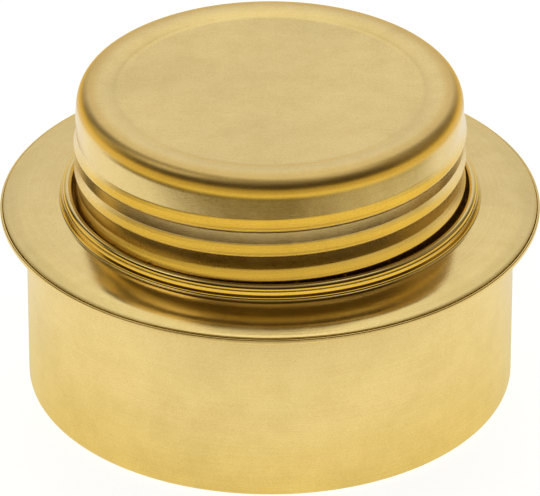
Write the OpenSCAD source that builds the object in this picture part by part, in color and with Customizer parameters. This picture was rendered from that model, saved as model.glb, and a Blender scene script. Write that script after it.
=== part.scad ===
// Pressed-brass spirit burner with a screw cap, standing on its base at the origin, +Z up, in mm.

/* [Body] */

// Outside diameter of the straight cup wall
body_d = 67.8; // [66:0.2:68.4]
// Height from the base to the underside of the flange
flange_h = 26.5; // [26:0.1:28]
// Thickness of the pressed brass sheet
sheet = 0.4; // [0.3:0.02:0.42]
// Outside radius of the corner between wall and base
base_corner = 1.2; // [0.8:0.1:2]
// Depth of the stiffening panel pressed into the base
base_recess = 0.5; // [0.2:0.1:0.8]

/* [Top plate] */

// Overall diameter of the flange
flange_d = 75; // [74.6:0.1:76]
// Diameter of the crease where the flat band of the flange meets the dome
crease_d = 70.8; // [70:0.1:71.4]
// Rise of the dome from the flange underside to the foot of the collar
dome_rise = 2.05; // [1.9:0.05:2.3]
// Outside diameter of the upturned neck of the plate
neck_d = 58.1; // [57.9:0.05:58.3]

/* [Well] */

// Inside diameter of the smooth throat under the rolled bead
throat_d = 55; // [54.96:0.01:55.06]
// Radius of the rolled bead on top of the well
bead_r = 0.65; // [0.58:0.01:0.65]
// Outside diameter of the fuel well below the shelf
well_d = 48.8; // [46:0.2:49.2]
// Height of the shelf that the sealing ring is pressed on
shelf_h = 15.4; // [14.8:0.1:15.4]
// Number of vapour jets round the throat
jet_count = 24; // [12:1:28]
// Diameter of one vapour jet
jet_d = 0.8; // [0.6:0.1:1]
// Number of feed holes at the foot of the well
feed_count = 8; // [4:1:12]
// Diameter of one feed hole
feed_d = 2.5; // [1.5:0.1:3]

/* [Cap] */

// Outside diameter of the plain skirt of the cap
cap_d = 53.5; // [53.3:0.02:53.54]
// Height of the cap's rim above the base, with the cap partly unscrewed
cap_top = 45.4; // [45.2:0.1:46]
// Outside radius of the cap's shoulder
shoulder_r = 2; // [1.2:0.1:2.2]
// Diameter of the panel sunk into the cap's top
panel_d = 42; // [41:0.1:43]
// Radius of the low, rounded rim between the panel and the shoulder
rim_round = 7.5; // [6:0.5:10]

/* [Thread] */

// Rise of the thread in one turn
pitch = 3.9; // [3.9:0.01:3.96]
// Height of the cap's ridge above its skirt
ridge_h = 0.4; // [0.3:0.01:0.42]
// Height of the well's ridge inside its throat
inner_ridge_h = 0.62; // [0.5:0.01:0.64]

/* [Packing and seal] */

// Height of the absorbent packing between the walls
packing_h = 20.5; // [16:0.5:21]
// Thickness of the rubber ring's cord
ring_cord = 1.6; // [1.4:0.05:1.65]

/* [Hidden] */

$fn = 96;
t = sheet;
body_r = body_d / 2;
rim_r = flange_d / 2;
mid_h = flange_h + 0.3;
lip_top = flange_h + 0.75;
plate_edge = rim_r - t - 0.03;
plate_seat = flange_h + t;
crease_r = crease_d / 2;
crease_z = flange_h + 1.25;
neck_r = neck_d / 2;
dome_top = flange_h + dome_rise;
neck_top = flange_h + 3.18;
throat_r = throat_d / 2;
bead_c = neck_top + 0.07;
well_r = well_d / 2;
cap_r = cap_d / 2;
panel_r = panel_d / 2;
// Highest circle of the cap's rim, and the angle where the rim's arc runs into the shoulder's
crest_r = cap_r - 3.15;
blend = asin((cap_r - shoulder_r - crest_r) / (rim_round - shoulder_r));
// Threads: one turn counterclockwise rises by one pitch. Their height is given at the front, at -90 degrees.
ridge_front = mid_h + 12.95;
ridge_start = -1290;
ridge_end = 205;
groove_front = ridge_front - 3.05;
inner_start = -1220;
inner_end = -860;
// Lower end of the cap
foot_z = mid_h - 2.9;
spigot_z = foot_z - 0.9;
spigot_r = 25;

brass = [0.80, 0.62, 0.30];
brass_dark = [0.66, 0.50, 0.22];
brass_pale = [0.86, 0.72, 0.42];
felt = [0.85, 0.83, 0.76];
rubber = [0.12, 0.12, 0.12];

// Points of an arc round (cr, cz), from angle a0 to a1
function arc(cr, cz, r, a0, a1, n) =
    [for (i = [0 : n]) [cr + r * cos(a0 + (a1 - a0) * i / n), cz + r * sin(a0 + (a1 - a0) * i / n)]];

// Height of a thread's reference line at angle a
function helix_z(front, a) = front + pitch * (a + 90) / 360;

// Share of the full ridge at angle a: it falls to less than half over f degrees at both ends, and ends bluntly
function fade(a, a0, a1, f) = 0.4 + 0.6 * min(1, (a - a0) / f, (a1 - a) / f);

// A ridge swept along a helix. Section points are [radius, rise, 1 where it fades towards radius base].
module helix(section, front, a0, a1, f, base, step) {
    n = len(section);
    m = round((a1 - a0) / step);
    pts = [for (i = [0 : m]) let (a = a0 + (a1 - a0) * i / m, k = fade(a, a0, a1, f))
        for (s = section) let (r = base + (s[0] - base) * (s[2] == 1 ? k : 1))
        [r * cos(a), r * sin(a), helix_z(front, a) + s[1]]];
    sides = [for (i = [0 : m - 1]) for (j = [0 : n - 1]) let (p = i * n + j, q = i * n + (j + 1) % n)
        each [[p, q, q + n], [p, q + n, p + n]]];
    first = [for (j = [n - 1 : -1 : 0]) j];
    last = [for (j = [0 : n - 1]) m * n + j];
    polyhedron(points = pts, faces = concat(sides, [first], [last]));
}

// Outer cup, drawn in one piece with its flange and the lip round the plate
module cup() {
    color(brass) rotate_extrude()
    polygon(concat(
        [[0, base_recess], [26, base_recess], [27, 0]],
        arc(body_r - base_corner, base_corner, base_corner, -90, 0, 6),
        arc(body_r + 0.5, flange_h - 0.5, 0.5, 180, 90, 5),
        arc(rim_r - 0.25, flange_h + 0.25, 0.25, -90, 0, 4),
        arc(rim_r - 0.2, lip_top - 0.2, 0.2, 0, 180, 6),
        [[rim_r - t, plate_seat]],
        arc(body_r + 0.5, flange_h - 0.5, 0.5 + t, 90, 180, 5),
        arc(body_r - base_corner, base_corner, base_corner - t, 0, -90, 5),
        [[27.2, t], [26.2, base_recess + t], [0, base_recess + t]]
    ));
}

// Dome of the plate, from the crease in to the collar: steep for the first millimetre and then a shallow cone.
// d lowers it for the underside.
function dome(d) =
    [for (i = [0 : 10]) let (u = i / 10, share = 0.81 * u + 0.19 * (1 - pow(1 - u, 7)))
        [crease_r + (neck_r + 0.5 - crease_r) * u, crease_z - d + (dome_top - crease_z) * share]];

// Plate that closes the cup: flat band, low dome, and a neck turned up round the well
module top_plate() {
    color(brass_pale) rotate_extrude()
    polygon(concat(
        [[plate_edge, plate_seat + 0.02], [plate_edge, plate_seat + t], [plate_edge - 0.1, plate_seat + t + 0.1]],
        dome(0),
        arc(neck_r + 0.35, dome_top + 0.35, 0.35, -90, -180, 4),
        arc(neck_r - 0.2, neck_top - 0.2, 0.2, 0, 180, 8),
        [[neck_r - t, dome_top - t + 0.2], [neck_r - t + 0.2, dome_top - t]],
        [for (i = [10 : -1 : 0]) dome(t)[i]]
    ));
}

// Fuel well: sleeve on the cup's base, shelf, threaded throat and the bead rolled over the neck
module well() {
    color(brass_dark) difference() {
        union() {
            rotate_extrude()
            polygon(concat(
                [[well_r - t, base_recess + t + 0.02], [well_r, base_recess + t + 0.02]],
                arc(well_r + 0.5, shelf_h - t - 0.5, 0.5, 180, 90, 4),
                arc(throat_r + t - 0.9, shelf_h - t + 0.9, 0.9, -90, 0, 5),
                arc(throat_r + bead_r, bead_c, bead_r - t, 180, 0, 8),
                arc(throat_r + bead_r, bead_c, bead_r, 0, 180, 12),
                arc(throat_r - 0.5, shelf_h + 0.5, 0.5, 0, -90, 5),
                arc(well_r + 0.5, shelf_h - t - 0.5, 0.5 + t, 90, 180, 4)
            ));
            helix([[throat_r + 0.2, -0.85, 0], [throat_r + 0.2, 0.9, 0], [throat_r - inner_ridge_h, 0.4, 1],
                [throat_r - inner_ridge_h, -0.35, 1]], groove_front, inner_start, inner_end, 40, throat_r, 6);
        }
        for (i = [0 : jet_count - 1]) rotate([0, 0, 360 * (i + 0.5) / jet_count])
            translate([throat_r - 1, 0, bead_c - 0.1]) rotate([0, 90, 0]) cylinder(d = jet_d, h = 1.6, $fn = 24);
        for (i = [0 : feed_count - 1]) rotate([0, 0, 360 * i / feed_count])
            translate([well_r - 1.5, 0, 3.2]) rotate([0, 90, 0]) cylinder(d = feed_d, h = 3, $fn = 32);
    }
}

// Absorbent packing between the walls, cut away round the shelf and the throat
module packing() {
    low = base_recess + t + 0.3;
    step_z = shelf_h - t - 0.3;
    outer_r = body_r - t - 0.3;
    color(felt) rotate_extrude()
    polygon([
        [well_r + 0.2, low], [outer_r, low], [outer_r, packing_h],
        [throat_r + t + 0.3, packing_h], [throat_r + t + 0.3, step_z], [well_r + 0.2, step_z]
    ]);
}

// Rubber ring round the spigot at the foot of the cap
module seal_ring() {
    color(rubber) translate([0, 0, foot_z - ring_cord / 2])
    rotate_extrude() translate([spigot_r + ring_cord / 2, 0]) circle(d = ring_cord, $fn = 32);
}

// Rim and shoulder of the cap, from the sunk panel outwards to the skirt; d is the depth below the outside
function cap_edge(d) = let (
        big = rim_round - d,
        foot = acos((crest_r - panel_r) / big),
        shoulder_z = cap_top - rim_round + (rim_round - shoulder_r) * cos(blend))
    concat(
        arc(crest_r, cap_top - rim_round, big, 180 - foot, 90 - blend, 8),
        arc(cap_r - shoulder_r, shoulder_z, shoulder_r - d, 80 - blend, 0, 8)
    );

// Screw cap: sunk panel, rounded rim and shoulder, plain skirt, thread, and a spigot for the ring
module cap() {
    outside = cap_edge(0);
    inside = cap_edge(t);
    color(brass) union() {
        rotate_extrude()
        polygon(concat(
            [[0, outside[0][1]]],
            outside,
            arc(cap_r - 0.6, foot_z + 0.6, 0.6, 0, -90, 4),
            arc(spigot_r + 0.2, foot_z - 0.2, 0.2, 90, 180, 3),
            [[spigot_r, spigot_z], [spigot_r - t, spigot_z]],
            [[spigot_r - t, foot_z + t - 0.2], [spigot_r - t + 0.2, foot_z + t]],
            arc(cap_r - 0.6, foot_z + 0.6, 0.6 - t, -90, 0, 3),
            [for (i = [len(inside) - 1 : -1 : 0]) inside[i]],
            [[0, inside[0][1]]]
        ));
        helix([[cap_r - 0.2, 0.5, 0], [cap_r - 0.2, -2.25, 0], [cap_r + ridge_h, -1.85, 1],
            [cap_r + ridge_h, -1.6, 1]], ridge_front, ridge_start, ridge_end, 70, cap_r, 6);
    }
}

cup();
top_plate();
well();
packing();
seal_ring();
cap();
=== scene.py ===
import math

import bpy
import numpy as np
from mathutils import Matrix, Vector


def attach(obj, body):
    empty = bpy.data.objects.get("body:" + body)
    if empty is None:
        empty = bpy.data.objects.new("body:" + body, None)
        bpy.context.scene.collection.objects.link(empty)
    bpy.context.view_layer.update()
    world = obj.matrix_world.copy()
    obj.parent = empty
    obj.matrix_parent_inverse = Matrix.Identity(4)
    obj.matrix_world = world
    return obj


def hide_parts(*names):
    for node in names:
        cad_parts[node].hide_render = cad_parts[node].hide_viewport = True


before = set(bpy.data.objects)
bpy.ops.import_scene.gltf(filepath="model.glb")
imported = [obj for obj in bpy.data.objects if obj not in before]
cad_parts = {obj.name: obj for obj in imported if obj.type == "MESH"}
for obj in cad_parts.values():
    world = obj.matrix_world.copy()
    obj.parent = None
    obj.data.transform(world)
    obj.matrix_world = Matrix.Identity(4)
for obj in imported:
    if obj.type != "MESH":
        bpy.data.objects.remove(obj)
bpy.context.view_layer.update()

MM = 0.001

# Sizes in millimetres, as in the CAD, but for the crease and the top of the dome, which are 0.07 mm higher and
# 0.08 mm lower than there
SHEET = 0.4
BODY_R = 33.9
RIM_R = 37.5
FLANGE_Z = 26.5
MID_Z = FLANGE_Z + 0.3
NECK_R = 29.05
NECK_TOP = FLANGE_Z + 3.18
THROAT_R = 27.5
BEAD_R = 0.65
BEAD_Z = NECK_TOP + 0.07
CREASE_R = 35.4
CREASE_Z = FLANGE_Z + 1.32
DOME_TOP = FLANGE_Z + 1.97
WELL_R = 24.4
SHELF_Z = 15.4
CAP_R = 26.75
CAP_TOP = 45.4
SHOULDER_R = 2.0
PANEL_R = 21.0
CREST_R = CAP_R - 3.15
RIM_ROUND = 7.5
PITCH = 3.9
RIDGE_FRONT = MID_Z + 12.95
FOOT_Z = MID_Z - 2.9
SPIGOT_R = 25.0
SPIGOT_Z = FOOT_Z - 0.9
RING_CORD = 1.6

# Points round the axis
ROUND_COLUMNS = 256
THREAD_COLUMNS = 288
RING_COLUMNS = 192
PACK_COLUMNS = 128
# Lengths below these count as nothing
ON_AXIS = 1e-6
TINY = 1e-12


def mesh_object(name, verts, faces):
    mesh = bpy.data.meshes.new(name)
    mesh.from_pydata(verts, [], faces)
    mesh.update()
    obj = bpy.data.objects.new(name, mesh)
    bpy.context.scene.collection.objects.link(obj)
    return obj


def arc(cr, cz, r, a0, a1, n):
    """Points of an arc round (cr, cz), with angles in degrees."""
    a = np.radians(np.linspace(a0, a1, n + 1))
    return [(cr + r * math.cos(k), cz + r * math.sin(k)) for k in a]


def line(p, q, n):
    """Points from p up to, but not including, q."""
    return [(p[0] + (q[0] - p[0]) * i / n, p[1] + (q[1] - p[1]) * i / n) for i in range(n)]


def lathe(name, profile, columns, shift=None, closed=False):
    """A round body from a profile of (radius, height) points.

    shift(angle, radius, height) adds to the radius. A closed profile comes back to its first point.
    """
    prof = np.array(profile, float)
    n = len(prof)
    ang = np.arange(columns) * 2 * math.pi / columns
    rad = np.repeat(prof[:, 0][:, None], columns, 1)
    hgt = np.repeat(prof[:, 1][:, None], columns, 1)
    if shift is not None:
        rad = rad + shift(ang[None, :], rad, hgt)
    x = rad * np.cos(ang)
    y = rad * np.sin(ang)
    grid = np.stack([x, y, hgt], -1)
    # Normals from the grid's own slopes, so that fine detail shades smoothly
    if closed:
        along = np.roll(grid, -1, 0) - np.roll(grid, 1, 0)
    else:
        along = np.gradient(grid, axis=0)
    across = np.roll(grid, -1, 1) - np.roll(grid, 1, 1)
    nrm = np.cross(across, along)
    length = np.linalg.norm(nrm, axis=-1, keepdims=True)
    nrm = nrm / np.maximum(length, TINY)
    verts, faces, normals = [], [], []
    index = np.zeros((n, columns), int)
    for i in range(n):
        if prof[i, 0] < ON_AXIS:
            # One point on the axis, which faces the same way as its neighbours
            beside = 1 if i == 0 else i - 1
            index[i, :] = len(verts)
            verts.append((0.0, 0.0, prof[i, 1] * MM))
            normals.append((0.0, 0.0, 1.0 if nrm[beside, 0, 2] > 0 else -1.0))
        else:
            index[i, :] = len(verts) + np.arange(columns)
            verts.extend(map(tuple, grid[i] * MM))
            normals.extend(map(tuple, nrm[i]))
    last = n if closed else n - 1
    for i in range(last):
        a, b = index[i], index[(i + 1) % n]
        for j in range(columns):
            k = (j + 1) % columns
            quad = [int(a[j]), int(a[k]), int(b[k]), int(b[j])]
            # On the axis two corners are one point, so the face has three
            face = [v for m, v in enumerate(quad) if v not in quad[:m]]
            if len(face) > 2:
                faces.append(face)
    obj = mesh_object(name, verts, faces)
    for polygon in obj.data.polygons:
        polygon.use_smooth = True
    obj.data.normals_split_custom_set_from_vertices(normals)
    return obj


# --- Materials ---


class Graph:
    """Short forms for building a shader's maths."""

    def __init__(self, tree):
        self.tree = tree
        tree.nodes.clear()

    def new(self, kind):
        return self.tree.nodes.new(kind)

    def link(self, a, b):
        self.tree.links.new(a, b)

    def put(self, value, socket):
        """Sets a number or a colour, or links an output."""
        if isinstance(value, (int, float)):
            socket.default_value = value
        elif isinstance(value, tuple):
            socket.default_value = (*value, 1.0)
        else:
            self.link(value, socket)

    def output(self, shader, kind="ShaderNodeOutputMaterial"):
        out = self.new(kind)
        self.link(shader.outputs[0], out.inputs[0])

    def math(self, op, a, b=None):
        m = self.new("ShaderNodeMath")
        m.operation = op
        self.put(a, m.inputs[0])
        if b is not None:
            self.put(b, m.inputs[1])
        return m.outputs[0]

    def total(self, first, *others):
        for other in others:
            first = self.math("ADD", first, other)
        return first

    def hypot(self, a, b, *extra):
        """The length of (a, b). An extra number is added under the root, to keep it off zero."""
        return self.math("SQRT", self.total(self.math("MULTIPLY", a, a), self.math("MULTIPLY", b, b), *extra))

    def step(self, value, low, high):
        """0 below low, 1 above high and smooth between; high may be the smaller one."""
        m = self.new("ShaderNodeMapRange")
        m.interpolation_type = "SMOOTHSTEP"
        ends = (high, low, 1.0, 0.0) if low > high else (low, high, 0.0, 1.0)
        for socket, end in zip(("From Min", "From Max", "To Min", "To Max"), ends):
            m.inputs[socket].default_value = end
        self.link(value, m.inputs["Value"])
        return m.outputs["Result"]

    def mix(self, fac, a, b, blend="MIX"):
        m = self.new("ShaderNodeMix")
        m.data_type = "RGBA"
        m.blend_type = blend
        self.put(fac, m.inputs["Factor"])
        self.put(a, m.inputs["A"])
        self.put(b, m.inputs["B"])
        return m.outputs["Result"]

    def ramp(self, fac, stops):
        """A colour ramp from a list of (place, colour)."""
        m = self.new("ShaderNodeValToRGB")
        while len(m.color_ramp.elements) < len(stops):
            m.color_ramp.elements.new(0.5)
        for element, (place, colour) in zip(m.color_ramp.elements, stops):
            element.position = place
            element.color = (*colour, 1.0)
        self.link(fac, m.inputs[0])
        return m.outputs[0]

    def noise(self, vector, scale, detail=2.0, roughness=0.5, distortion=0.0):
        m = self.new("ShaderNodeTexNoise")
        settings = {"Scale": scale, "Detail": detail, "Roughness": roughness, "Distortion": distortion}
        for socket, value in settings.items():
            m.inputs[socket].default_value = value
        self.link(vector, m.inputs["Vector"])
        return m.outputs["Fac"]

    def bump(self, height, distance, shader, strength=1.0):
        m = self.new("ShaderNodeBump")
        m.inputs["Strength"].default_value = strength
        m.inputs["Distance"].default_value = distance
        self.link(height, m.inputs["Height"])
        self.link(m.outputs[0], shader.inputs["Normal"])

    def split(self, vector):
        m = self.new("ShaderNodeSeparateXYZ")
        self.link(vector, m.inputs[0])
        return m.outputs

    def place(self):
        """The object's own coordinates, in metres."""
        return self.new("ShaderNodeTexCoord").outputs["Object"]

    def place_mm(self):
        """The object's own coordinates, in millimetres."""
        m = self.new("ShaderNodeVectorMath")
        m.operation = "SCALE"
        m.inputs["Scale"].default_value = 1 / MM
        self.link(self.place(), m.inputs[0])
        return m.outputs[0]


def new_material(name):
    """A material with a main shader on its output, and the short forms for its nodes."""
    mat = bpy.data.materials.new(name)
    mat.use_nodes = True
    g = Graph(mat.node_tree)
    shader = g.new("ShaderNodeBsdfPrincipled")
    g.output(shader)
    return mat, g, shader


BRASS = (0.95, 0.745, 0.315)
WHITE = (1.0, 1.0, 1.0)
# How fast the noise changes along the grain: round the whole circle, or per millimetre of straight grain
ROUND_LINES = 1.6
STRAIGHT_LINES = 0.28
SPOT_SHARE = 0.5
TONE_SHARE = 0.8
GRAIN_ROUGHNESS = 0.10
SMUDGE_ROUGHNESS = 0.10
WAVE_HEIGHT = 0.02


def brass(name, rough, grain, grain_scale, grain_depth, sand=0.002, zones=()):
    """Satin brass. grain: 'round' runs round the axis, 'straight' runs along X.

    grain_depth and sand are heights in millimetres. zones: (measure, low, high, roughness added, tint), each
    rising from nothing at low to full at high. The tint paints light or shade into the colour. The measure is
    'radius' or 'height', and low may be the larger.
    """
    mat, g, shader = new_material(name)
    shader.inputs["Metallic"].default_value = 1.0
    place = g.place_mm()
    x, y, z = g.split(place)
    rho = g.hypot(x, y, 0.01)
    if grain == "round":
        axes = (
            (g.math("DIVIDE", x, rho), ROUND_LINES),
            (g.math("DIVIDE", y, rho), ROUND_LINES),
            (g.math("ADD", rho, z), grain_scale),
        )
    else:
        axes = ((x, STRAIGHT_LINES), (y, grain_scale), (z, grain_scale))
    stretched = g.new("ShaderNodeCombineXYZ")
    for (axis, spacing), socket in zip(axes, stretched.inputs):
        g.link(g.math("MULTIPLY", axis, spacing), socket)

    brushed = g.noise(stretched.outputs[0], 1.0, 4.0, 0.65)
    cloud = g.noise(place, 0.06, 3.0, 0.55)
    speck = g.noise(place, 2.2, 2.0, 0.5)
    sandy = g.noise(place, 7.0, 1.0, 0.6)
    smudge = g.noise(place, 0.22, 4.0, 0.7)
    wave = g.noise(place, 0.11, 1.0, 0.4)

    # Colour: a slow drift in tone, darker specks, the grain's own faint tone, sand and smudges
    drift = g.ramp(cloud, [
        (0.30, [c * 0.93 for c in BRASS]),
        (0.55, BRASS),
        (0.75, [min(1.0, c * 1.03) for c in BRASS]),
    ])
    specks = g.ramp(speck, [(0.20, (0.80, 0.76, 0.66)), (0.33, WHITE)])
    tone = g.ramp(brushed, [(0.30, (0.93, 0.92, 0.88)), (0.60, WHITE)])
    sand_tone = g.ramp(sandy, [(0.34, (0.94, 0.93, 0.90)), (0.62, (1.05, 1.05, 1.07))])
    smudge_tone = g.ramp(smudge, [(0.36, (0.96, 0.945, 0.92)), (0.60, (1.02, 1.02, 1.04))])
    colour = g.mix(SPOT_SHARE, drift, specks, "MULTIPLY")
    colour = g.mix(TONE_SHARE, colour, tone, "MULTIPLY")
    colour = g.mix(1.0, sand_tone, colour, "MULTIPLY")
    colour = g.mix(1.0, smudge_tone, colour, "MULTIPLY")

    # Roughness follows the grain and the smudges, and the zones change it and paint light or shade into the
    # colour
    grainy = g.math("MULTIPLY", brushed, GRAIN_ROUGHNESS)
    smudged = g.math("MULTIPLY", smudge, SMUDGE_ROUGHNESS)
    mean = (GRAIN_ROUGHNESS + SMUDGE_ROUGHNESS) / 2
    polish = g.total(grainy, smudged, rough - mean)
    for measure, low, high, extra, painted_light_tint in zones:
        share = g.step(rho if measure == "radius" else z, low, high)
        polish = g.math("ADD", polish, g.math("MULTIPLY", share, extra))
        # the zone's tint is painted shade or a painted sheen
        colour = g.mix(share, colour, painted_light_tint, "MULTIPLY")
    g.link(colour, shader.inputs["Base Color"])
    g.link(polish, shader.inputs["Roughness"])

    # Relief: grain, a very slow waviness of the pressed sheet, and sand
    relief = g.total(
        g.math("MULTIPLY", brushed, grain_depth),
        g.math("MULTIPLY", wave, WAVE_HEIGHT),
        g.math("MULTIPLY", sandy, sand),
    )
    g.bump(relief, MM, shader)
    return mat


def rubber_material():
    """Black rubber with a fine speckle."""
    mat, g, shader = new_material("rubber_black")
    shader.inputs["Roughness"].default_value = 0.55
    fine = g.noise(g.place(), 1800.0)
    speckle = g.ramp(fine, [(0.0, (0.010, 0.010, 0.011)), (1.0, (0.030, 0.029, 0.028))])
    g.link(speckle, shader.inputs["Base Color"])
    g.bump(fine, 0.02 * MM, shader, strength=0.3)
    return mat


def fibre_material():
    """Pale felted fibre, with strands that lie flat."""
    mat, g, shader = new_material("fibre_packing")
    shader.inputs["Roughness"].default_value = 0.95
    flatten = g.new("ShaderNodeMapping")
    flatten.inputs["Scale"].default_value = (1.0, 1.0, 5.0)
    g.link(g.place(), flatten.inputs["Vector"])
    strands = g.noise(flatten.outputs[0], 900.0, detail=6.0, distortion=1.5)
    felt = g.ramp(strands, [(0.3, (0.38, 0.34, 0.27)), (0.7, (0.78, 0.75, 0.66))])
    g.link(felt, shader.inputs["Base Color"])
    g.bump(strands, 0.4 * MM, shader)
    return mat


mat_cup = brass("brass_cup", 0.23, "round", 5.0, 0.004)
mat_plate = brass("brass_plate", 0.15, "round", 5.0, 0.004)
mat_well = brass("brass_well", 0.15, "round", 3.0, 0.002, zones=[
    # everything below the bead is dull
    ("height", 29.4, 28.6, 0.35, WHITE),
])
mat_cap = brass("brass_cap", 0.19, "straight", 6.5, 0.005, sand=0.0014, zones=[
    # the skirt is duller below the first turn of the thread, and again below the second
    ("height", 39.6, 37.8, 0.05, WHITE),
    ("height", 35.2, 33.4, 0.05, WHITE),
    # the shoulder is dull, with painted shade that makes it darker and warmer; the crest of the rim isn't
    # dull, and from it inwards a painted sheen makes the colour whiter again; the panel is a little duller
    # than the crest
    ("height", 43.0, 43.8, 0.19, (0.96, 0.90, 0.80)),
    ("radius", 24.8, 23.2, -0.15, (1.05, 1.12, 1.28)),
    ("radius", 21.2, 20.4, 0.04, WHITE),
])
mat_rubber = rubber_material()
mat_fibre = fibre_material()


def finish_piece(obj, mat, body, node):
    obj.data.materials.append(mat)
    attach(obj, body)
    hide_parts(node)


# --- Cup ---
# The panel pressed up into the base, and the flat ring round it that the cup stands on
PRESS_R = 25.6
PRESS_Z = 0.5
STAND_R = 27.2
BASE_ROUND = 1.2
FLANGE_ROUND = 0.5
LIP_ROUND = 0.25
WALL_IN = BODY_R - SHEET

cup_profile = (
    [(0.0, PRESS_Z)]
    + line((2.0, PRESS_Z), (PRESS_R, PRESS_Z), 6)
    + arc(PRESS_R, PRESS_Z - 0.2, 0.2, 90, 62, 3)
    + arc(STAND_R - 0.25, 0.2, 0.2, 242, 270, 3)
    + line((STAND_R, 0.0), (BODY_R - BASE_ROUND, 0.0), 4)
    + arc(BODY_R - BASE_ROUND, BASE_ROUND, BASE_ROUND, -90, 0, 14)
    + line((BODY_R, BASE_ROUND + 0.4), (BODY_R, FLANGE_Z - 0.9), 20)
    + arc(BODY_R + FLANGE_ROUND, FLANGE_Z - FLANGE_ROUND, FLANGE_ROUND, 180, 90, 8)
    + line((BODY_R + 0.8, FLANGE_Z), (RIM_R - LIP_ROUND, FLANGE_Z), 4)
    + arc(RIM_R - LIP_ROUND, FLANGE_Z + LIP_ROUND, LIP_ROUND, -90, 0, 8)
    + arc(RIM_R - SHEET / 2, FLANGE_Z + 0.55, SHEET / 2, 0, 180, 14)
    + arc(RIM_R - SHEET - 0.1, FLANGE_Z + SHEET + 0.1, 0.1, 0, -90, 4)
    + line((RIM_R - SHEET - 0.2, FLANGE_Z + SHEET), (BODY_R + FLANGE_ROUND, FLANGE_Z + SHEET), 4)
    + arc(BODY_R + FLANGE_ROUND, FLANGE_Z - FLANGE_ROUND, FLANGE_ROUND + SHEET, 90, 180, 8)
    + line((WALL_IN, FLANGE_Z - 1.5), (WALL_IN, BASE_ROUND + 0.4), 6)
    + arc(BODY_R - BASE_ROUND, BASE_ROUND, BASE_ROUND - SHEET, 0, -90, 8)
    + [(31.0, SHEET), (STAND_R, SHEET), (26.2, PRESS_Z + SHEET)]
    + [(r, PRESS_Z + SHEET) for r in (20.0, 2.0, 0.0)]
)
cup = lathe("cup_shell", cup_profile, ROUND_COLUMNS)
finish_piece(cup, mat_cup, "burner", "cup")


# --- Top plate ---
# The dome rises evenly by the straight share, and by the rest close to the crease
DOME_STRAIGHT = 0.81
DOME_SHARPNESS = 7
COLLAR_ROUND = 0.35
PLATE_EDGE = RIM_R - SHEET - 0.03
SEAT_Z = FLANGE_Z + SHEET


def dome(u):
    """Height of the plate's upper face between the crease, u = 0, and the collar, u = 1."""
    share = DOME_STRAIGHT * u + (1 - DOME_STRAIGHT) * (1 - (1 - u) ** DOME_SHARPNESS)
    return CREASE_Z + (DOME_TOP - CREASE_Z) * share


dome_pts = [(CREASE_R + (NECK_R + 0.5 - CREASE_R) * u, dome(u)) for u in np.linspace(0, 1, 40)]
plate_upper = (
    arc(PLATE_EDGE - 0.1, SEAT_Z + 0.4, 0.1, 0, 76, 5)
    + line((PLATE_EDGE - 0.3, SEAT_Z + 0.58), (CREASE_R + 0.12, CREASE_Z - 0.026), 6)
    + dome_pts
    + arc(NECK_R + COLLAR_ROUND, DOME_TOP + COLLAR_ROUND, COLLAR_ROUND, -94, -180, 8)
    + line((NECK_R, DOME_TOP + 0.45), (NECK_R, NECK_TOP - 0.44), 3)
    # the neck's edge leans in a little under the bead
    + line((NECK_R, NECK_TOP - 0.44), (NECK_R - 0.1, NECK_TOP - 0.09), 5)
    + arc(NECK_R - 0.18, NECK_TOP - 0.08, 0.08, 14, 90, 6)
    + arc(NECK_R - 0.3, NECK_TOP - 0.1, 0.1, 90, 180, 6)
)
plate_lower = (
    arc(NECK_R + COLLAR_ROUND, DOME_TOP + COLLAR_ROUND, COLLAR_ROUND + SHEET, 180, 266, 8)
    + [(r, z - SHEET) for r, z in dome_pts[::-1]]
    + line((CREASE_R + 0.2, CREASE_Z - SHEET - 0.05), (PLATE_EDGE - 0.1, SEAT_Z + 0.03), 6)
    + [(PLATE_EDGE - 0.02, SEAT_Z + 0.04)]
)
plate = lathe("plate_dome", plate_upper + plate_lower, ROUND_COLUMNS, closed=True)
finish_piece(plate, mat_plate, "burner", "top_plate")


# --- Well, with its bead, thread and holes ---
# Angles of a thread are in degrees from the right, counterclockwise, and rise by one pitch a turn
INNER_START = -1220.0
INNER_END = -860.0
INNER_FADE = 40.0
INNER_FRONT = RIDGE_FRONT - 3.05
# The turns in which a thread is looked for, more than either thread has
TURNS = range(-6, 3)
# Sections of a thread: (depth below its reference line, height of the ridge)
INNER_SECTION = [
    (-1.1, 0.0), (-0.75, 0.12), (-0.4, 0.56), (-0.1, 0.62),
    (0.1, 0.62), (0.38, 0.56), (0.75, 0.12), (1.1, 0.0),
]
THROAT_OUT = THROAT_R + SHEET
SHELF_IN = 0.5
SHELF_OUT = 0.9
ON_WALL = 0.02


def helix_shift(front, start, end, fade, section, sign):
    """Radius added by a rolled thread whose reference line is at height front at -90 degrees, the front."""
    depths = np.array([p[0] for p in section])
    ridges = np.array([p[1] for p in section])

    def shift(ang, rad, hgt):
        deg = np.degrees(ang)
        total = np.zeros(np.broadcast(ang, hgt).shape)
        for turn in TURNS:
            a = deg + 360.0 * turn
            reference = front + PITCH * (a + 90.0) / 360.0
            # The ridge fades in and out at its two ends
            share = np.clip(np.minimum((a - start) / fade, (end - a) / fade), 0.0, 1.0)
            share = share * share * (3 - 2 * share)
            total = total + share * np.interp(reference - hgt, depths, ridges, left=0.0, right=0.0)
        return sign * total

    return shift


inner_thread = helix_shift(INNER_FRONT, INNER_START, INNER_END, INNER_FADE, INNER_SECTION, -1.0)


def well_shift(ang, rad, hgt):
    """The thread pressed into both faces of the throat, between the shelf and the bead."""
    on_throat = (np.abs(rad - THROAT_R) < ON_WALL) | (np.abs(rad - THROAT_OUT) < ON_WALL)
    between = (hgt < BEAD_Z - 0.3) & (hgt > SHELF_Z + 2)
    return np.where(on_throat & between, inner_thread(ang, rad, hgt), 0.0)


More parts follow.
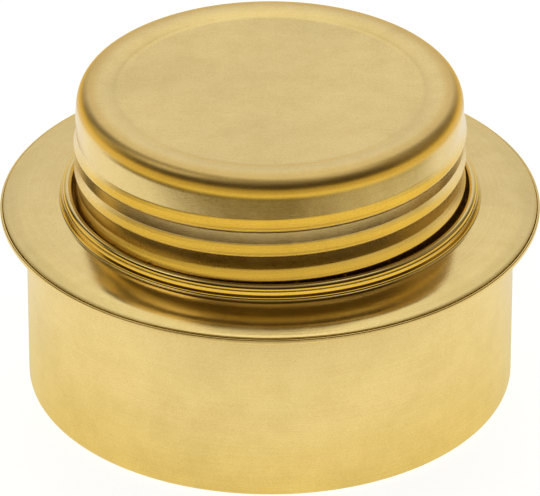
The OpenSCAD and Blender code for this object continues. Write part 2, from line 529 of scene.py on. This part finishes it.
well_profile = (
    [(WELL_R - SHEET, 0.95), (WELL_R, 0.95)]
    + line((WELL_R, 2.0), (WELL_R, SHELF_Z - SHEET - 0.6), 8)
    + arc(WELL_R + SHELF_IN, SHELF_Z - SHEET - SHELF_IN, SHELF_IN, 180, 90, 8)
    + arc(THROAT_OUT - SHELF_OUT, SHELF_Z - SHEET + SHELF_OUT, SHELF_OUT, -90, 0, 10)
    + line((THROAT_OUT, SHELF_Z + 1.0), (THROAT_OUT, BEAD_Z - 0.05), 130)
    + arc(THROAT_R + BEAD_R, BEAD_Z, BEAD_R - SHEET, 180, 0, 12)
    + arc(THROAT_R + BEAD_R, BEAD_Z, BEAD_R, 0, 180, 26)
    + line((THROAT_R, BEAD_Z - 0.05), (THROAT_R, SHELF_Z + 0.55), 200)
    + arc(THROAT_R - 0.5, SHELF_Z + 0.5, 0.5, 0, -90, 8)
    + arc(WELL_R + SHELF_IN, SHELF_Z - SHEET - SHELF_IN, SHELF_IN + SHEET, 90, 180, 8)
    + line((WELL_R - SHEET, SHELF_Z - 1.2), (WELL_R - SHEET, 1.5), 8)
)
well = lathe("well_sleeve", well_profile, THREAD_COLUMNS, shift=well_shift, closed=True)


# The jets under the bead, the feed holes at the foot, and the angle in degrees that shades as a sharp edge
JETS = 24
JET_R = 0.4
FEEDS = 8
FEED_R = 1.25
FEED_Z = 3.2
HOLE_EDGE_ANGLE = 38


def tube_points(angle, r0, r1, z, radius, sides):
    """Two rings of points of a round bar that lies along a radius."""
    c, s = math.cos(angle), math.sin(angle)
    points = []
    for r in (r0, r1):
        for k in range(sides):
            turn = 2 * math.pi * k / sides
            aside = radius * math.cos(turn)
            above = radius * math.sin(turn)
            points.append(((r * c - aside * s) * MM, (r * s + aside * c) * MM, (z + above) * MM))
    return points


def drill(obj, bars, sides=20):
    """Cuts round radial holes through a piece.

    bars: (angle, inner radius, outer radius, height, radius of the hole).
    """
    verts, faces = [], []
    for bar in bars:
        n = len(verts)
        near = [n + k for k in range(sides)]
        far = [n + sides + k for k in range(sides)]
        verts += tube_points(*bar, sides)
        for k in range(sides):
            after = (k + 1) % sides
            faces.append([near[k], near[after], far[after], far[k]])
        faces += [near[::-1], far]
    tool = mesh_object("drill", verts, faces)
    cut = obj.modifiers.new("holes", "BOOLEAN")
    cut.operation = "DIFFERENCE"
    cut.solver = "EXACT"
    cut.object = tool
    bpy.context.view_layer.update()
    drilled = bpy.data.meshes.new_from_object(obj.evaluated_get(bpy.context.evaluated_depsgraph_get()))
    obj.modifiers.remove(cut)
    solid = obj.data
    obj.data = drilled
    bpy.data.meshes.remove(solid)
    bar_mesh = tool.data
    bpy.data.objects.remove(tool)
    bpy.data.meshes.remove(bar_mesh)
    for polygon in drilled.polygons:
        polygon.use_smooth = True
    drilled.set_sharp_from_angle(angle=math.radians(HOLE_EDGE_ANGLE))


jet_angles = [2 * math.pi * (i + 0.5) / JETS for i in range(JETS)]
feed_angles = [2 * math.pi * i / FEEDS for i in range(FEEDS)]
jet_bars = [(angle, THROAT_R - 1, THROAT_R + 0.6, BEAD_Z - 0.1, JET_R) for angle in jet_angles]
feed_bars = [(angle, WELL_R - 1.5, WELL_R + 1.5, FEED_Z, FEED_R) for angle in feed_angles]
drill(well, jet_bars + feed_bars)
finish_piece(well, mat_well, "burner", "well")

# --- Packing ---
PACK_LO = 1.3
PACK_HI = 20.4
# It is cut away under the shelf and round the throat
PACK_STEP = SHELF_Z - SHEET - 0.4
PACK_WELL_R = WELL_R + 0.3
PACK_THROAT_R = THROAT_OUT + 0.4
PACK_OUT_R = BODY_R - 0.8

packing_profile = (
    arc(PACK_WELL_R + 0.6, PACK_LO + 0.6, 0.6, 180, 270, 5)
    + arc(PACK_OUT_R - 0.6, PACK_LO + 0.6, 0.6, -90, 0, 5)
    + line((PACK_OUT_R, PACK_LO + 1.0), (PACK_OUT_R, PACK_HI - 1.0), 8)
    + arc(PACK_OUT_R - 0.7, PACK_HI - 0.7, 0.7, 0, 90, 6)
    + arc(PACK_THROAT_R + 0.6, PACK_HI - 0.6, 0.6, 90, 180, 6)
    + line((PACK_THROAT_R, PACK_HI - 0.8), (PACK_THROAT_R, PACK_STEP), 5)
    + line((PACK_THROAT_R, PACK_STEP), (PACK_WELL_R + 0.5, PACK_STEP), 4)
    + arc(PACK_WELL_R + 0.5, PACK_STEP - 0.5, 0.5, 90, 180, 5)
    + line((PACK_WELL_R, PACK_STEP - 0.7), (PACK_WELL_R, PACK_LO + 0.8), 6)
)


def lumpy(ang, rad, hgt):
    """The unevenness of a soft ring: two slow waves, up to 0.08 mm together."""
    return 0.05 * np.sin(9 * ang + hgt) + 0.03 * np.sin(23 * ang - 2 * hgt)


packing = lathe("fibre_ring", packing_profile, PACK_COLUMNS, shift=lumpy, closed=True)
finish_piece(packing, mat_fibre, "burner", "packing")

# --- Sealing ring ---
ring_r = RING_CORD / 2
ring_profile = arc(SPIGOT_R + ring_r, FOOT_Z - ring_r, ring_r, 0, 345, 23)
ring = lathe("rubber_ring", ring_profile, RING_COLUMNS, closed=True)
finish_piece(ring, mat_rubber, "ring", "seal_ring")

# --- Cap ---
# Under its crest the ridge drops sharply and then leans back to the wall over most of a pitch
RIDGE_SECTION = [
    (0.0, 0.0), (0.2, 0.03), (0.7, 0.13), (1.2, 0.27), (1.5, 0.37),
    (1.62, 0.40), (1.74, 0.39), (1.84, 0.31), (1.94, 0.25), (3.86, 0.0),
]
RIDGE_START = -1290.0
RIDGE_END = 205.0
RIDGE_FADE = 70.0
outer_thread = helix_shift(RIDGE_FRONT, RIDGE_START, RIDGE_END, RIDGE_FADE, RIDGE_SECTION, 1.0)
# The foot of the shoulder curves more gently than its top
LOW_ROUND = 4.5
LOW_ANGLE = 20.0
low_cos = math.cos(math.radians(LOW_ANGLE))
low_sin = math.sin(math.radians(LOW_ANGLE))
shoulder_r = CAP_R - LOW_ROUND * (1 - low_cos) - SHOULDER_R * low_cos
# The angle at which the rim's arc meets the shoulder's, measured from the axis
blend = math.asin((shoulder_r - CREST_R) / (RIM_ROUND - SHOULDER_R))
shoulder_z = CAP_TOP - RIM_ROUND + (RIM_ROUND - SHOULDER_R) * math.cos(blend)
blend_deg = math.degrees(blend)
wall_top = shoulder_z + (SHOULDER_R - LOW_ROUND) * low_sin
FOOT_ROUND = 0.6
SPIGOT_IN = SPIGOT_R - SHEET
SPIGOT_ROUND = 0.08
CORNER = 0.2
WALL_INSIDE = CAP_R - SHEET
# Rows of the skirt, close together outside so that the thread is smooth
OUTER_ROWS = 330
INNER_ROWS = 165


def cap_edge(depth, n):
    """Rim and shoulder of the cap, from the sunk panel outwards to the skirt, a depth below the outside."""
    big = RIM_ROUND - depth
    foot = math.degrees(math.acos((CREST_R - PANEL_R) / big))
    return (
        arc(CREST_R, CAP_TOP - RIM_ROUND, big, 180 - foot, 90 - blend_deg, n)
        + arc(shoulder_r, shoulder_z, SHOULDER_R - depth, 86 - blend_deg, LOW_ANGLE, n)
        + arc(CAP_R - LOW_ROUND, wall_top, LOW_ROUND - depth, LOW_ANGLE - 1.5, 0, 12)
    )


def cap_shift(ang, rad, hgt):
    """The thread, on both faces of the skirt as in rolled sheet."""
    on_wall = (rad > WALL_INSIDE - 0.2) & (hgt < wall_top + 1.0) & (hgt > FOOT_Z + 0.6)
    return np.where(on_wall, outer_thread(ang, rad, hgt), 0.0)


outside = cap_edge(0.0, 20)
inside = cap_edge(SHEET, 12)
panel_z = outside[0][1]
under_z = inside[0][1]
cap_profile = (
    [(0.0, panel_z)]
    + [(r, panel_z) for r in np.linspace(1.0, PANEL_R - 0.35, 16)]
    + [(PANEL_R - 0.18, panel_z + 0.008)]
    + outside[1:]
    + line((CAP_R, wall_top - 0.05), (CAP_R, FOOT_Z + 0.7), OUTER_ROWS)
    + arc(CAP_R - FOOT_ROUND, FOOT_Z + FOOT_ROUND, FOOT_ROUND, 0, -90, 10)
    + arc(SPIGOT_R + CORNER, FOOT_Z - CORNER, CORNER, 90, 180, 5)
    + arc(SPIGOT_R - SPIGOT_ROUND, SPIGOT_Z + SPIGOT_ROUND, SPIGOT_ROUND, 0, -90, 3)
    + arc(SPIGOT_IN + SPIGOT_ROUND, SPIGOT_Z + SPIGOT_ROUND, SPIGOT_ROUND, -90, -180, 3)
    + arc(SPIGOT_IN + CORNER, FOOT_Z + CORNER, CORNER, 180, 90, 4)
    + arc(CAP_R - FOOT_ROUND, FOOT_Z + FOOT_ROUND, FOOT_ROUND - SHEET, -90, 0, 4)
    + line((WALL_INSIDE, FOOT_Z + 0.7), (WALL_INSIDE, wall_top - 0.05), INNER_ROWS)
    + inside[::-1]
    + [(r, under_z) for r in np.linspace(PANEL_R - 0.3, 1.0, 8)]
    + [(0.0, under_z)]
)
cap = lathe("cap_shell", cap_profile, THREAD_COLUMNS, shift=cap_shift)
finish_piece(cap, mat_cap, "cap", "cap")

# --- Floor, light and camera ---


def card(name, half, z):
    """A square level sheet, with an empty node tree."""
    corners = [(-half, -half, z), (half, -half, z), (half, half, z), (-half, half, z)]
    obj = mesh_object(name, corners, [(0, 1, 2, 3)])
    mat = bpy.data.materials.new(name)
    mat.use_nodes = True
    obj.data.materials.append(mat)
    return obj, Graph(mat.node_tree)


# White floor: mostly its own light, so that it stays white, with a soft shadow under the object
floor, g = card("floor", 6.0, -0.03 * MM)
floor.visible_glossy = False
glow = g.new("ShaderNodeEmission")
g.put(WHITE, glow.inputs["Color"])
g.put(0.90, glow.inputs["Strength"])
matt = g.new("ShaderNodeBsdfDiffuse")
g.put((0.42, 0.42, 0.42), matt.inputs["Color"])
both = g.new("ShaderNodeAddShader")
g.link(glow.outputs[0], both.inputs[0])
g.link(matt.outputs[0], both.inputs[1])
g.output(both)

# What the brass sees of the table: a white sheet that ends in front and to the right, warmer near the object.
# Only glossy rays meet it, and the lengths here are millimetres.
SHEET_REACH_LEFT = 112.0
SHEET_REACH_RIGHT = 88.0
SHEET_REACH_FRONT = 83.0
table, g = card("table", 3.0, -0.6 * MM)
for flag in ("visible_camera", "visible_diffuse", "visible_shadow"):
    setattr(table, flag, False)
px, py = g.split(g.place_mm())[:2]
radius = g.hypot(px, py)
near = g.ramp(g.math("DIVIDE", radius, 100.0), [
    (0.34, (0.84, 0.76, 0.46)),
    (0.56, (0.90, 0.87, 0.77)),
    (0.80, (0.91, 0.89, 0.88)),
    (1.0, (0.90, 0.89, 0.87)),
])
on_right = g.step(px, -10.0, 10.0)
wide = g.math("ADD", g.math("MULTIPLY", on_right, SHEET_REACH_RIGHT - SHEET_REACH_LEFT), SHEET_REACH_LEFT)
oval = g.hypot(g.math("DIVIDE", px, wide), g.math("DIVIDE", py, SHEET_REACH_FRONT))
in_front = g.step(g.math("DIVIDE", py, radius), 0.35, -0.15)
past_edge = g.math("MULTIPLY", g.step(oval, 0.93, 1.08), in_front)
to_right = g.step(g.math("DIVIDE", px, radius), 0.1, 0.9)
beyond = g.mix(to_right, (0.20, 0.155, 0.065), (0.48, 0.43, 0.30))
sheet_seen = g.mix(past_edge, near, beyond)
far_off = g.step(radius, 130.0, 260.0)
table_glow = g.new("ShaderNodeEmission")
g.put(g.mix(far_off, sheet_seen, (0.92, 0.72, 0.20)), table_glow.inputs["Color"])
g.output(table_glow)

# The room: bright behind and at the sides, dark in front and dim overhead. Colours by elevation in degrees.
BEHIND = [
    (0, (0.78, 0.62, 0.26)),
    (5, (0.72, 0.66, 0.52)),
    (15, (0.69, 0.67, 0.62)),
    (30, (0.735, 0.72, 0.74)),
    (45, (0.86, 0.85, 0.80)),
    (60, (0.97, 0.96, 0.90)),
    (74, (0.95, 0.93, 0.86)),
    (83, (0.42, 0.39, 0.31)),
    (90, (0.24, 0.205, 0.145)),
]
BEFORE = [
    (0, (0.92, 0.72, 0.20)),
    (6, (0.74, 0.56, 0.17)),
    (12, (0.14, 0.10, 0.04)),
    (19, (0.020, 0.013, 0.009)),
    (43, (0.024, 0.016, 0.011)),
    (53, (0.09, 0.07, 0.045)),
    (62, (0.13, 0.105, 0.07)),
    (72, (0.31, 0.27, 0.19)),
    (90, (0.24, 0.205, 0.145)),
]
# Round soft lights: azimuth, elevation, inner and outer radius in degrees, and colour. The azimuth is
# counterclockwise from the right, so 90 is behind the object and 180 is on the left.
LIGHTS = [
    (22.0, 38.0, 8.0, 32.0, (0.26, 0.21, 0.13)),
    (28.0, 70.0, 5.0, 13.0, (0.95, 0.93, 0.85)),
    (156.0, 22.0, 6.0, 15.0, (0.68, 0.60, 0.34)),
    (168.0, 50.0, 5.0, 15.0, (0.72, 0.65, 0.42)),
    (186.0, 58.0, 6.0, 14.0, (1.1, 1.05, 0.92)),
]


def by_sine(stops):
    """Stops by elevation, as stops by the height of the direction."""
    return [(math.sin(math.radians(elevation)), colour) for elevation, colour in stops]


def lamp(room, azimuth, elevation, inner, outer, colour):
    """Adds a round soft light, seen in this direction, to the room."""
    a, e = math.radians(azimuth), math.radians(elevation)
    aim = g.new("ShaderNodeVectorMath")
    aim.operation = "DOT_PRODUCT"
    g.link(direction, aim.inputs[0])
    aim.inputs[1].default_value = (math.cos(a) * math.cos(e), math.sin(a) * math.cos(e), math.sin(e))
    fac = g.step(aim.outputs["Value"], math.cos(math.radians(outer)), math.cos(math.radians(inner)))
    return g.mix(fac, room, colour)


world = bpy.data.worlds.new("studio")
bpy.context.scene.world = world
world.use_nodes = True
g = Graph(world.node_tree)
direction = g.new("ShaderNodeTexCoord").outputs["Generated"]
ux, uy, uz = g.split(direction)
level = g.hypot(ux, uy, 1e-5)
in_front = g.step(g.math("DIVIDE", uy, level), 1.0, 0.70)
up = g.math("MAXIMUM", uz, 0.0)
room = g.mix(in_front, g.ramp(up, by_sine(BEHIND)), g.ramp(up, by_sine(BEFORE)))
for light in LIGHTS:
    room = lamp(room, *light)
sky = g.new("ShaderNodeBackground")
g.link(room, sky.inputs["Color"])
g.output(sky, "ShaderNodeOutputWorld")

# The camera looks down from the front with a long lens
ELEVATION = math.radians(30.3)
DISTANCE = 0.9
LOOK_AT = Vector((0.0, 0.0, (MID_Z - 7.1) * MM))
SENSOR_MM = 36.0
# The lens in image widths, for an image 540 pixels wide
LENS_WIDTHS = 6450.0 / 540.0
back = Vector((0.0, -math.cos(ELEVATION), math.sin(ELEVATION)))
cam_data = bpy.data.cameras.new("camera")
cam = bpy.data.objects.new("camera", cam_data)
bpy.context.scene.collection.objects.link(cam)
cam_data.sensor_fit = "HORIZONTAL"
cam_data.sensor_width = SENSOR_MM
cam_data.lens = LENS_WIDTHS * SENSOR_MM
cam_data.clip_start = 0.05
cam_data.clip_end = 50.0
cam.rotation_mode = "QUATERNION"
cam.rotation_quaternion = (-back).to_track_quat("-Z", "Y")
cam.location = LOOK_AT + back * DISTANCE
bpy.context.scene.camera = cam
bpy.context.scene.view_settings.view_transform = "Standard"
